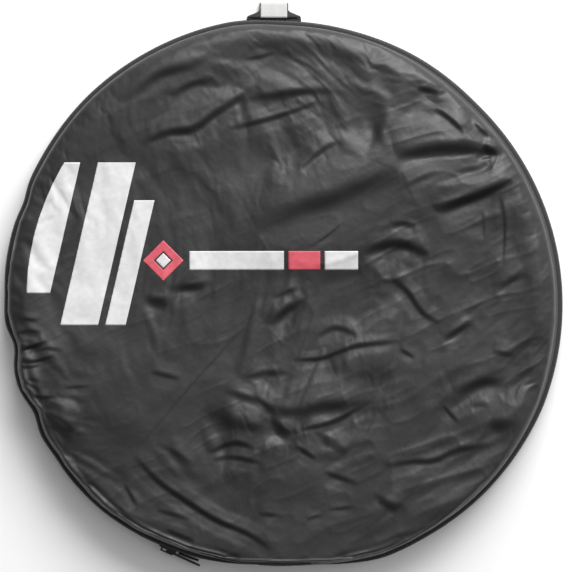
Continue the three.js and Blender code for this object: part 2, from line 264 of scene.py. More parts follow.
def thicken(obj, thickness, offset=-1):
    """Gives a sheet its thickness: below its face, or half on each side with offset 0."""
    thick = obj.modifiers.new("thickness", "SOLIDIFY")
    thick.thickness = thickness * MM
    thick.offset = offset


def attach(obj, body, slot, *nodes):
    """The piece moves with a body, and the CAD nodes it stands for are hidden. slot is not used."""
    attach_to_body(obj, body)
    if nodes:
        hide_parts(*nodes)


def rounded_section(inset_out, inset_in, low, high, corner, steps=4):
    """A rectangle with rounded corners, as (inset, height) points."""
    centres = [
        (inset_out + corner, high - corner, 90, 180),
        (inset_out + corner, low + corner, 180, 270),
        (inset_in - corner, low + corner, 270, 360),
        (inset_in - corner, high - corner, 0, 90),
    ]
    points = []
    for cx, cz, a, b in centres:
        for k in range(steps + 1):
            t = math.radians(a + (b - a) * k / steps)
            points.append((cx + corner * math.cos(t), cz + corner * math.sin(t)))
    return points


def bevelled_copy(name, node, material, width):
    """A CAD node's shape with its edges rounded."""
    obj = bpy.data.objects.new(name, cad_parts[node].data.copy())
    bpy.context.scene.collection.objects.link(obj)
    obj.data.materials.clear()
    obj.data.materials.append(material)
    bm = bmesh.new()
    bm.from_mesh(obj.data)
    bmesh.ops.remove_doubles(bm, verts=bm.verts, dist=1e-6)
    bmesh.ops.dissolve_limit(bm, angle_limit=math.radians(1), verts=bm.verts, edges=bm.edges)
    bm.to_mesh(obj.data)
    bm.free()
    bevel = obj.modifiers.new("round", "BEVEL")
    bevel.width = width * MM
    bevel.segments = 3
    bevel.limit_method = "ANGLE"
    bevel.angle_limit = math.radians(30)
    bevel.harden_normals = False
    obj.data.shade_smooth()
    return obj


# ---- Materials -----------------------------------------------------------------------------------
class Nodes:
    """A short way to write a material's node tree."""

    def __init__(self, name, **sockets):
        self.material = bpy.data.materials.new(name)
        self.material.use_nodes = True
        self.tree = self.material.node_tree
        self.shader = self.tree.nodes["Principled BSDF"]
        for key, value in sockets.items():
            self.shader.inputs[key.replace("_", " ")].default_value = value

    def add(self, kind, inputs=None, **settings):
        node = self.tree.nodes.new("ShaderNode" + kind)
        for key, value in settings.items():
            setattr(node, key, value)
        for key, value in (inputs or {}).items():
            if isinstance(value, bpy.types.NodeSocket):
                self.tree.links.new(value, node.inputs[key])
            else:
                node.inputs[key].default_value = value
        return node

    def link(self, socket, name):
        self.tree.links.new(socket, self.shader.inputs[name])

    def place(self):
        """Object coordinates in millimetres."""
        where = self.add("TexCoord").outputs["Object"]
        return self.add("Mapping", {"Vector": where, "Scale": (1 / MM,) * 3}).outputs["Vector"]

    def noise(self, where, scale, detail=3.0, rough=0.55):
        return self.add(
            "TexNoise", {"Vector": where, "Scale": scale, "Detail": detail, "Roughness": rough}
        ).outputs["Fac"]

    def ramp(self, value, *stops):
        """A colour that follows a value, from (value, colour) stops."""
        node = self.add("ValToRGB", {"Fac": value})
        points = node.color_ramp.elements
        for k, (at, color) in enumerate(stops):
            if k >= len(points):
                points.new(at)
            points[k].position = at
            points[k].color = (*color, 1)
        return node.outputs["Color"]

    def math(self, what, a, b):
        return self.add("Math", {0: a, 1: b}, operation=what).outputs[0]

    def uneven_gloss(self, cloud, low, high, start=0.0, end=1.0):
        """Roughness that follows a noise: low where the noise is start, high where it is end."""
        spread = self.add(
            "MapRange",
            {"Value": cloud, "From Min": start, "From Max": end, "To Min": low, "To Max": high},
        )
        self.link(spread.outputs["Result"], "Roughness")

    def bump(self, height, strength, distance, normal=None):
        """A normal from a height; the distance is in millimetres."""
        inputs = {"Height": height, "Strength": strength, "Distance": distance * MM}
        if normal is not None:
            inputs["Normal"] = normal
        return self.add("Bump", inputs).outputs["Normal"]

    def weave(self, where, pitch):
        """Crossed threads at this pitch in millimetres."""
        waves = [
            self.add(
                "TexWave",
                {"Vector": where, "Scale": 2 * math.pi / 20 / pitch, "Distortion": 0.4,
                 "Detail": 1.0, "Detail Scale": 2.0},
                bands_direction=axis,
            ).outputs["Fac"]
            for axis in ("X", "Y")
        ]
        return self.math("MULTIPLY", *waves)


def nylon_material(name, dark, light, roughness, pitch=0.55):
    """Coated taffeta: a faint weave, fine crinkles and uneven sheen."""
    m = Nodes(name, Specular_IOR_Level=0.5, Sheen_Weight=0.04, Sheen_Roughness=0.4)
    where = m.place()
    cloud = m.noise(where, 0.02, 4.0)
    m.link(m.ramp(cloud, (0.3, dark), (0.75, light)), "Base Color")
    m.uneven_gloss(m.noise(where, 0.09, 3.0), roughness - 0.05, roughness + 0.07, 0.3, 0.7)
    crinkle = m.bump(m.noise(where, 0.16, 5.0, 0.6), 0.35, 0.5)
    fine = m.bump(m.noise(where, 0.7, 2.0), 0.2, 0.12, crinkle)
    m.link(m.bump(m.weave(where, pitch), 0.25, 0.06, fine), "Normal")
    return m.material


def webbing_material(name, dark, light, pitch=0.9, roughness=0.7):
    """Woven tape, with ribs across it."""
    m = Nodes(name, Roughness=roughness, Sheen_Weight=0.08, Sheen_Roughness=0.5)
    where = m.place()
    threads = m.weave(where, pitch)
    speck = m.noise(where, 0.9, 3.0)
    mixed = m.math("ADD", threads, speck)
    m.link(m.ramp(mixed, (0.35, dark), (1.0, light)), "Base Color")
    soft = m.bump(m.noise(where, 0.3, 3.0), 0.3, 0.3)
    m.link(m.bump(threads, 0.6, 0.16, soft), "Normal")
    return m.material


def plain_material(name, dark, light, roughness, scale=0.4, depth=0.1, **sockets):
    """Moulded, printed or painted: slight mottling, uneven gloss and a fine grain."""
    m = Nodes(name, **sockets)
    where = m.place()
    cloud = m.noise(where, scale, 4.0)
    m.link(m.ramp(cloud, (0.3, dark), (0.75, light)), "Base Color")
    m.uneven_gloss(cloud, roughness - 0.08, roughness + 0.1)
    m.link(m.bump(m.noise(where, scale * 4, 2.0), 0.3, depth), "Normal")
    return m.material


def foil_material(name, dark, light, roughness, metallic, cell):
    """The reflecting cloth: small flat crinkles with sharp edges between them."""
    m = Nodes(name, Metallic=metallic)
    where = m.place()
    crease = m.add("TexVoronoi", {"Vector": where, "Scale": cell}, feature="DISTANCE_TO_EDGE")
    cloud = m.noise(where, cell * 2, 4.0)
    m.link(m.ramp(cloud, (0.3, dark), (0.75, light)), "Base Color")
    m.uneven_gloss(cloud, roughness - 0.08, roughness + 0.14)
    sharp = m.bump(crease.outputs["Distance"], 0.5, 0.8)
    m.link(m.bump(m.weave(where, 0.5), 0.2, 0.05, m.bump(cloud, 0.4, 0.6, sharp)), "Normal")
    return m.material


NYLON = nylon_material("nylon", (0.0115, 0.0115, 0.012), (0.0185, 0.0185, 0.0195), 0.47)
LINING = nylon_material("nylon_back", (0.020, 0.020, 0.021), (0.028, 0.028, 0.029), 0.55)
BINDING = webbing_material("binding", (0.008, 0.008, 0.0085), (0.02, 0.02, 0.021))
TAPE = webbing_material("zip_tape", (0.010, 0.010, 0.011), (0.034, 0.034, 0.036), 0.6)
WEBBING = webbing_material("loop_webbing", (0.012, 0.012, 0.013), (0.05, 0.05, 0.052), 1.1)
THREAD = webbing_material("thread", (0.06, 0.06, 0.063), (0.16, 0.16, 0.165), 0.3, 0.5)
TEETH = plain_material("zip_teeth", (0.010, 0.010, 0.011), (0.022, 0.022, 0.023), 0.32)
ENAMEL = plain_material(
    "black_enamel", (0.012, 0.012, 0.013), (0.03, 0.03, 0.032), 0.34, 0.8, 0.04, Metallic=0.7
)
PRINT_WHITE = plain_material("white_print", (0.56, 0.56, 0.56), (0.64, 0.64, 0.64), 0.6, 0.25)
PRINT_CORAL = plain_material("coral_print", (0.52, 0.065, 0.095), (0.6, 0.1, 0.13), 0.6, 0.25)
SATIN = webbing_material("label_satin", (0.44, 0.44, 0.435), (0.64, 0.64, 0.63), 0.5, 0.45)
STEEL = plain_material(
    "spring_steel", (0.22, 0.23, 0.25), (0.42, 0.43, 0.45), 0.35, 0.3, 0.05, Metallic=1.0
)
SILVER = foil_material("silver_cloth", (0.62, 0.63, 0.65), (0.8, 0.81, 0.83), 0.3, 0.85, 0.12)
WHITE = foil_material("white_cloth", (0.72, 0.72, 0.7), (0.84, 0.84, 0.82), 0.62, 0.0, 0.08)


# ---- Front cloth ---------------------------------------------------------------------------------
FOLD_TOP = PANEL_TOP - 0.4
# From the seam up over the rim, as (inset from the outline, height).
WALL = [
    (4.2, PIPE_HIGH[2] - 0.4), (4.6, 19.0), (5.0, 23.0), (5.3, 27.6), (5.8, 31.2), (7.4, 33.9),
    (10.0, 35.3), (14.5, FOLD_TOP), (22.0, FOLD_TOP + 0.2),
]
# How far the wall leans in over the fold at the straight bottom, as (height, lean).
FOLD_LEAN = [(16, 0.2), (27, 0.0), (33.5, 3.0), (35.6, 12.0)]
# Creases in the cloth: (slope, width, points). A crease is a slope that faces away from the light,
# with a ridge on the left of its line and a valley on the right.
CREASES = [
    # Long folds across the upper left.
    (0.6, 2.4, [(-98, 104), (-79, 112), (-61, 115), (-47, 125), (-33, 134), (-18, 146)]),
    (0.35, 2.8, [(-33, 134), (-12, 137), (19, 141), (44, 140)]),
    (0.4, 1.6, [(-37, 115), (-16, 120), (7, 127), (24, 134)]),
    (0.35, 3.8, [(-112, 133), (-96, 144), (-82, 153), (-63, 158), (-47, 168)]),
    (0.28, 2.1, [(-79, 137), (-63, 145), (-47, 150)]),
    (0.3, 1.0, [(-26, 163), (-14, 165), (-5, 168)]),
    (0.4, 2.1, [(12, 87), (28, 101), (40, 107)]),
    # The broad valley through the middle.
    (0.5, 7.0, [(-17, 45), (10, 59), (35, 67), (51, 74), (82, 87)]),
    (0.3, 2.1, [(82, 74), (96, 81), (108, 85)]),
    # Pleats that fan out from a pinch at the right.
    (0.3, 4.2, [(72, 130), (65, 110), (58, 95)]),
    (0.75, 4.5, [(77, 96), (96, 100), (117, 102), (144, 101)]),
    (0.4, 1.8, [(93, 143), (108, 140)]),
    (0.45, 1.8, [(105, 129), (117, 120), (126, 111)]),
    (0.6, 2.1, [(129, 122), (138, 113), (146, 108)]),
    (0.7, 2.8, [(137, 103), (149, 97)]),
    (0.7, 3.1, [(105, 58), (124, 66), (142, 73), (159, 82)]),
    (0.3, 2.1, [(74, 49), (84, 50), (92, 48)]),
    (0.4, 3.5, [(51, 28), (66, 34), (82, 36), (96, 31), (106, 25)]),
    (0.4, 0.9, [(150, 69), (153, 50), (152, 21)]),
    (0.25, 0.8, [(138, 59), (139, 39)]),
    (0.25, 2.8, [(146, 6), (167, 17)]),
    # Right of the middle.
    (0.45, 1.6, [(74, 13), (86, 3), (96, -11), (108, -19)]),
    (0.45, 3.1, [(-10, -20), (2, -10), (16, -2)]),
    (0.25, 1.8, [(-7, -1), (11, 6)]),
    (0.35, 1.8, [(23, -28), (37, -22), (52, -27)]),
    (0.4, 2.4, [(110, -29), (121, -23), (130, -17)]),
    (0.45, 1.0, [(81, -37), (91, -42)]),
    (0.35, 3.5, [(118, -66), (136, -59), (155, -59)]),
    (0.35, 1.2, [(110, -75), (121, -87)]),
    (0.25, 1.4, [(130, -76), (142, -74)]),
    (0.25, 6.3, [(142, -85), (160, -95)]),
    (0.25, 1.8, [(144, -38), (160, -41)]),
    # Below the middle.
    (0.7, 1.2, [(7, -44), (26, -43), (40, -38), (52, -34), (81, -31)]),
    (0.2, 7.7, [(39, -59), (58, -52), (78, -53)]),
    (0.55, 4.2, [(-14, -75), (9, -80), (26, -76), (58, -73), (70, -69)]),
    (0.35, 2.1, [(-31, -57), (-12, -53), (7, -53)]),
    (0.35, 2.8, [(-80, 5), (-61, 7), (-48, 10)]),
    (0.25, 4.2, [(-98, -1), (-74, -6)]),
    (0.25, 1.8, [(-91, -52), (-70, -57)]),
    # A star of creases in the lower middle.
    (0.3, 5.6, [(-56, -76), (-35, -87), (-10, -92)]),
    (0.45, 2.4, [(-41, -65), (-26, -69), (-14, -73), (0, -85)]),
    (0.6, 3.1, [(-10, -82), (1, -92), (11, -94)]),
    (0.5, 1.4, [(12, -92), (33, -87), (51, -78), (62, -72)]),
    (0.4, 2.1, [(21, -93), (36, -101), (45, -108)]),
    (0.4, 1.6, [(9, -103), (23, -112)]),
    (0.4, 1.9, [(-51, -108), (-33, -101), (-19, -105)]),
    (0.35, 1.6, [(-48, -113), (-33, -111), (-14, -115)]),
    (0.3, 2.1, [(-87, -101), (-72, -109), (-60, -117)]),
    (0.3, 1.8, [(28, -121), (52, -129)]),
    # Lower right and by the straight bottom.
    (0.4, 1.8, [(69, -117), (89, -114), (105, -113), (121, -106), (142, -102)]),
    (0.4, 2.4, [(63, -136), (74, -143), (84, -143)]),
    (0.4, 0.9, [(32, -147), (49, -145)]),
    (0.35, 0.9, [(16, -154), (27, -150)]),
    (0.25, 1.4, [(-17, -150), (0, -151)]),
    # The coil's edge pressing through at the lower left.
    (0.5, 1.8, [(-102, -110), (-86, -127), (-68, -140), (-46, -154), (-23, -164), (-7, -175)]),
    (0.45, 1.0, [(-109, -129), (-105, -136), (-100, -145)]),
    (0.25, 1.4, [(-87, -147), (-63, -154)]),
    (0.35, 1.4, [(-80, -161), (-60, -169)]),
    # Puckers by the gathered left side.
    (0.4, 1.0, [(-182, -15), (-168, -17)]),
    (0.6, 1.2, [(-182, -34), (-173, -35), (-162, -31)]),
    (0.6, 1.2, [(-183, -43), (-172, -45), (-157, -41)]),
    (0.4, 1.0, [(-176, -56), (-167, -59)]),
    (0.4, 1.1, [(-175, -67), (-165, -70), (-156, -69)]),
    (0.3, 1.0, [(-150, -63), (-133, -62)]),
    (0.35, 7.0, [(-168, -84), (-144, -95)]),
    (0.35, 1.0, [(-170, -39), (-161, -36), (-151, -38)]),
    (0.6, 0.9, [(-185, -39), (-176, -36), (-167, -32)]),
    (0.5, 0.9, [(-184, -48), (-175, -49), (-166, -47)]),
    (0.5, 0.9, [(-182, -56), (-174, -61), (-167, -65)]),
    (0.45, 0.9, [(-180, -62), (-171, -67)]),
    (0.4, 0.9, [(-185, -27), (-176, -24), (-166, -25)]),
    # Fold marks.
    (0.22, 0.8, [(-103, -109), (-65, -64), (-23, -17)]),
    (0.3, 0.8, [(18, 33), (30, 41), (42, 51)]),
]
SHARP = 2.0  # creases narrower than this are pressed in only after the simulation
BROAD_FOLDS = [crease for crease in CREASES if crease[1] >= SHARP]
SHARP_FOLDS = [crease for crease in CREASES if crease[1] < SHARP]


def pressed(x, y, creases):
    """The height that a list of creases adds at each point."""
    total = np.zeros_like(x)
    for slope, width, points in creases:
        line = smooth_line(points)
        low, high = line.min(0) - 6 * width, line.max(0) + 6 * width
        near = (x > low[0]) & (x < high[0]) & (y > low[1]) & (y < high[1])
        px, py = x[near], y[near]
        # Each point's distance from the line, offset to its left, and place along it from 0 to 1.
        best = np.full(px.shape, 1e9)
        side = np.zeros(px.shape)
        along = np.zeros(px.shape)
        lengths = np.linalg.norm(np.diff(line, axis=0), axis=1)
        before = np.concatenate([[0], np.cumsum(lengths)])
        for k, (a, b) in enumerate(zip(line[:-1], line[1:])):
            d = b - a
            t = np.clip(((px - a[0]) * d[0] + (py - a[1]) * d[1]) / (d @ d), 0, 1)
            qx, qy = px - a[0] - t * d[0], py - a[1] - t * d[1]
            far = np.hypot(qx, qy)
            closer = far < best
            best = np.where(closer, far, best)
            side = np.where(closer, (d[0] * qy - d[1] * qx) / lengths[k], side)
            along = np.where(closer, (before[k] + t * lengths[k]) / before[-1], along)
        fade = np.clip(np.sin(np.pi * np.clip(along, 0, 1)), 0, 1) ** 0.7
        past_end = np.exp(-(((best**2 - side**2).clip(0)) / width**2))
        s = side / width
        fold = s * (1 + 0.5 * s * s) ** -1.2 * smoothstep(6, 3.5, abs(s))
        total[near] += slope * width * fade * past_end * fold
    return total


def crumple(x, y):
    """Soft facets that run from lower left to upper right, busier towards the right and bottom."""
    a = math.radians(24)
    along, across = x * math.cos(a) + y * math.sin(a), -x * math.sin(a) + y * math.cos(a)
    busy = 0.35 + 0.65 * smoothstep(-60, 90, 0.7 * x - 0.6 * y)
    bend = 7 * noise(x, y, 46, 3)
    big = 1 - abs(noise(along / 2.6, across + bend, 17, 5))
    mid = 1 - abs(noise(along / 2.6, across + bend, 8.5, 7))
    small = noise(along / 2.2, across, 4.2, 9)
    return busy * (0.95 * big**2 + 0.42 * mid**2 + 0.10 * small) + 0.9 * noise(x, y, 60, 11)


def disc_grid(n):
    """An even grid of n by n squares mapped onto the unit disc: radius, and angle in degrees."""
    u, v = np.meshgrid(np.linspace(-1, 1, n), np.linspace(-1, 1, n), indexing="ij")
    big, small = np.where(abs(u) > abs(v), u, v), np.where(abs(u) > abs(v), v, u)
    ratio = np.divide(small, big, out=np.zeros_like(small), where=big != 0)
    angle = np.where(abs(u) > abs(v), math.pi / 4 * ratio, math.pi / 2 - math.pi / 4 * ratio)
    x, y = big * np.cos(angle), big * np.sin(angle)
    # The grid is turned, so that its rows don't lie along the cloth's folds.
    return np.hypot(x, y).ravel(), (np.degrees(np.arctan2(y, x)).ravel() + 24) % 360


def front_surface(n):
    """The front cloth's outer face as points, and how far each is from the seam along the cloth."""
    share, deg = disc_grid(n)
    wall = smooth_line(WALL, 1.0)
    length = np.concatenate([[0], np.cumsum(np.linalg.norm(np.diff(wall, axis=0), axis=1))])
    inner = RIM_R - WALL[-1][0]
    total = inner + length[-1]
    s = (1 - share) * total
    on_wall = s < length[-1]
    inset = np.where(on_wall, np.interp(s, length, wall[:, 0]), 0)
    z = np.interp(s, length, wall[:, 1])
    # On the right the zip's tape lies in sight beside the cloth.
    inset = inset + 2.0 * smoothstep(62, 30, away(deg, 18)) * smoothstep(2, 8, s)
    # By the straight bottom the wall leans in and the cloth rolls over the fold.
    to_cut = (-FLAT_Y) / downward(deg)
    lean = np.interp(z, *zip(*FOLD_LEAN)) / downward(deg)
    wall_r = np.minimum(
        rim_radius(deg, inset, flat_inset=0.3), to_cut - lean * smoothstep(12, -2, to_cut - RIM_R)
    )
    edge = np.minimum(rim_radius(deg, WALL[-1][0], flat_inset=10.0), to_cut - 12)
    r = np.where(on_wall, wall_r, np.clip((total - s) / inner, 0, 1) * edge)
    x, y = r * np.cos(np.radians(deg)), r * np.sin(np.radians(deg))
    # Shallow folds on top, which the simulation deepens.
    z = z + smoothstep(2, 26, s - 12) * (2.2 * pressed(x, y, BROAD_FOLDS) + 1.1 * crumple(x, y))
    # Small gathers where the cloth is sewn to the rim, stronger at the left.
    gathered = 0.16 + 0.95 * smoothstep(60, 20, away(deg, 200))
    ripple = noise(deg * 3.3, s * 0.4, 9.0, 21) + 0.4 * noise(deg * 3.3, s * 0.6, 4.2, 22)
    push = ripple * gathered * (smoothstep(3, 9, s) * smoothstep(50, 20, s))
    z = z + 0.75 * push * smoothstep(10, 24, s)
    out = 0.8 * push * smoothstep(30, 14, s)
    x, y = x + out * np.cos(np.radians(deg)), y + out * np.sin(np.radians(deg))
    return np.stack([x, y, z], axis=1), s


BUNDLE_TOP = 32.7
COIL_IN, COIL_OUT = 163, 182  # the coil's inner and outer radius, with its cloth
PUFF_FROM, PUFF = 37.0, 4.5  # the height where the cloth's puff is eased, and how far it goes above


def lining_height(x, y):
    """How high the folded reflector stands under the cloth: its bundle, then the coil round it."""
    r = np.hypot(x, y - RING_Y)
    coil = smoothstep(COIL_IN - 4, COIL_IN, r) * smoothstep(COIL_OUT + 4, COIL_OUT, r)
    over_rim = smoothstep(COIL_OUT + 1, COIL_OUT + 8, r)
    return BUNDLE_TOP + coil * (EDGING_HIGH[2] + 0.1 - BUNDLE_TOP) - 8 * over_rim


def add_weights(obj, name, weights):
    group = obj.vertex_groups.new(name=name)
    for k in np.nonzero(weights > 0)[0]:
        group.add([int(k)], float(weights[k]), "REPLACE")


def settle(cloth, held, slack, bending, frames):
    """Lets the cloth buckle: it is cut up to 2 % large, held at its rim, and lies on the reflector."""
    n = 60
    share, deg = disc_grid(n)
    x, y = 190 * share * np.cos(np.radians(deg)), 190 * share * np.sin(np.radians(deg)) + RING_Y
    below = make_object(
        "below", np.stack([x, y, lining_height(x, y) - 0.4], axis=1), grid_faces(n, n), NYLON
    )
    face_up(below)
    below.modifiers.new("collision", "COLLISION")
    below.collision.thickness_outer = MM
    add_weights(cloth, "held", held)
    add_weights(cloth, "slack", slack)
    sim = cloth.modifiers.new("cloth", "CLOTH")
    for key, value in {
        "quality": 6, "mass": 0.3, "tension_stiffness": 40, "compression_stiffness": 40,
        "shear_stiffness": 8, "bending_stiffness": bending, "tension_damping": 12,
        "compression_damping": 12, "shear_damping": 8, "bending_damping": 0.5, "air_damping": 1,
        "vertex_group_mass": "held", "vertex_group_shrink": "slack",
        "shrink_min": -0.005, "shrink_max": -0.02,  # below zero it grows
    }.items():
        setattr(sim.settings, key, value)
    sim.settings.effector_weights.gravity = 0.0
    sim.collision_settings.distance_min = MM
    sim.collision_settings.use_self_collision = False
    sim.point_cache.frame_end = frames
    for at in range(1, frames + 1):
        bpy.context.scene.frame_set(at)
    bpy.data.objects.remove(below)
    keep_shape(cloth)
    bpy.context.scene.frame_set(1)
    cloth.vertex_groups.clear()


def buckle(cloth, points, from_seam):
    """Stiff cloth first, for the broad folds, then limp cloth for the small ones."""
    x, y = points[:, 0], points[:, 1]
    # The upper left of the photo's cloth is smooth, and the lower right is the most crumpled.
    smooth_part = smoothstep(150, 80, np.hypot(x + 70, (y - 40) * 1.2))
    slack = (1 - 0.85 * smooth_part) * (0.6 + 0.4 * smoothstep(-80, 60, 0.6 * x - 0.7 * y))
    held = (from_seam < 20).astype(float)
    settle(cloth, held, slack, 14.0, 12)
    settle(cloth, held, slack, 0.2, 8)
    cloth.modifiers.new("smoother", "SUBSURF").levels = 1
    keep_shape(cloth)


def press_folds(cloth):
    """Eases the puff's height, presses the folds in, and keeps the cloth above the reflector."""
    place = np.empty(len(cloth.data.vertices) * 3)
    cloth.data.vertices.foreach_get("co", place)
    x, y, z = (place.reshape(-1, 3) / MM).T
    over = np.maximum(z - PUFF_FROM, 0)
    z = z - over + PUFF * (1 - np.exp(-over / PUFF))
    # The simulation softens the folds, so they are pressed in once more, with the sharp ones.
    z += smoothstep(26, 30, z) * (
        1.25 * pressed(x, y, BROAD_FOLDS) + 2.3 * pressed(x, y, SHARP_FOLDS)
        + 0.85 * crumple(x, y) + 0.04 * noise(x, y, 2.4, 71)
    )
    inside = np.hypot(x, y - RING_Y) < COIL_OUT - 1
    z[inside] = np.maximum(z, lining_height(x, y) + CLOTH + 0.1)[inside]
    cloth.data.vertices.foreach_set("co", (np.stack([x, y, z], axis=1) * MM).ravel())
    cloth.data.update()
    cloth.data.shade_smooth()


def add_front():
    n = 200
    points, from_seam = front_surface(n)
    cloth = make_object("front_cloth", points, grid_faces(n, n), NYLON)
    face_up(cloth)
    buckle(cloth, points, from_seam)
    press_folds(cloth)
    thicken(cloth, CLOTH)
    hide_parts("front_panel", "front_panel_hem")
    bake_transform(cloth)
    return cloth


# ---- Print on the cloth --------------------------------------------------------------------------
PRINTS = {
    "print_bar_1": "white", "print_bar_2": "white", "print_bar_3": "white",
    "print_diamond": "coral", "print_diamond_core": "white",
    "print_rule_long": "white", "print_rule_accent": "coral", "print_rule_short": "white",
}
INK = {"white": PRINT_WHITE, "coral": PRINT_CORAL}


def cut_in_squares(bm, pitch):
    """Cuts a flat shape along X and Y lines, so that it can follow the cloth."""
    for k in (0, 1):
        low, high = min(v.co[k] for v in bm.verts), max(v.co[k] for v in bm.verts)
        for at in np.arange(low + pitch, high, pitch):
            place, normal = [0.0, 0.0, 0.0], [0.0, 0.0, 0.0]
            place[k], normal[k] = at, 1.0
            bmesh.ops.bisect_plane(
                bm, geom=bm.verts[:] + bm.edges[:] + bm.faces[:],
                plane_co=place, plane_no=normal, dist=1e-7,
            )


def add_prints(cloth):
    """Lays the top face of each CAD print on the creased cloth."""
    tree = BVHTree.FromPolygons(
        [v.co for v in cloth.data.vertices], [tuple(p.vertices) for p in cloth.data.polygons]
    )
    for node, ink in PRINTS.items():
        bm = bmesh.new()
        bm.from_mesh(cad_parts[node].data)
        top = max(v.co.z for v in bm.verts)
        under = [f for f in bm.faces if f.normal.z < 0.9 or f.calc_center_median().z < top - 5e-5]
        bmesh.ops.delete(bm, geom=under, context="FACES")
        bmesh.ops.remove_doubles(bm, verts=bm.verts, dist=1e-6)
        bmesh.ops.dissolve_limit(bm, angle_limit=0.02, verts=bm.verts, edges=bm.edges)
        cut_in_squares(bm, 1.2 * MM)
        for v in bm.verts:
            hit = tree.ray_cast(Vector((v.co.x, v.co.y, 0.1)), Vector((0, 0, -1)))[0]
            v.co.z = (hit.z if hit else v.co.z) + 0.14 * MM
        mesh = bpy.data.meshes.new(node.replace("print", "ink"))
        bm.to_mesh(mesh)
        bm.free()
        piece = bpy.data.objects.new(mesh.name, mesh)
        bpy.context.scene.collection.objects.link(piece)
        mesh.materials.append(INK[ink])
        mesh.shade_smooth()
        thicken(piece, 0.1)
        attach(piece, "front_flap", f"{ink}_print", node)


# ---- Rim: binding, tapes, teeth, piping and stitches ---------------------------------------------
def add_stitches(name, inset, z, start, end, pitch, body):
    """A row of short thread stitches that lie along the rim."""
    verts, faces = [], []
    thread = [(0.26 * math.cos(t), 0.2 * math.sin(t)) for t in np.radians(range(0, 360, 60))]
    # Along each stitch: place, thickness, and how far it dips into the cloth.
    dips = [(-1, 0.4, 0.16), (-0.6, 1, 0), (0.6, 1, 0), (1, 0.4, 0.16)]
    half = math.degrees(0.38 * pitch / RIM_R)
    count = int(abs(end - start) * math.pi / 180 * RIM_R / pitch)
    for k in range(count):
        deg = start + (end - start) * (k + 0.5) / count
        base = len(verts)
        for shift, swell, drop in dips:
            a = math.radians(deg + shift * half)
            r = float(rim_radius(deg + shift * half, inset))
            for out, up in thread:
                q = r + out * swell
                verts.append((q * math.cos(a), q * math.sin(a), z - drop + up * swell))
        faces += closed_column(base, len(dips), len(thread))
    attach(make_object(name, verts, faces, THREAD), body, "webbing")


def tooth_row(name, start, end, low, high, up, body, node, reach=0.62):
    """One side of the zip: a row of rounded teeth, their heads reaching towards the other side."""
    pitch = 1.5
    verts, faces = [], []
    count = int(abs(end - start) * math.pi / 180 * ZIP_R / pitch)
    root, tip = (low, high + reach) if up else (high, low - reach)
    # From root to head: height, half width along the zip, and half depth.
    levels = [(root, 0.30, 0.95), (root + 0.25 * (tip - root), 0.36, 1.2),
              (root + 0.7 * (tip - root), 0.40, 1.25), (root + 0.94 * (tip - root), 0.52, 1.15),
              (tip, 0.34, 0.8)]
    ring = [(math.cos(t), math.sin(t)) for t in np.radians(range(0, 360, 45))]
    for k in range(count):
        deg = start + (end - start) * (k + (0.25 if up else 0.75)) / count
        a = math.radians(deg)
        r = ZIP_R + float(zip_offset(deg))
        out, run = np.array([math.cos(a), math.sin(a)]), np.array([-math.sin(a), math.cos(a)])
        base = len(verts)
        for z, half_run, half_out in levels:
            for c, s in ring:
                p = out * (r + half_out * c) + run * half_run * s
                verts.append((p[0], p[1], z))
        faces += closed_column(base, len(levels), len(ring))
    obj = make_object(name, verts, faces, TEETH)
    fix_normals(obj)
    attach(obj, body, "zip_teeth", node)


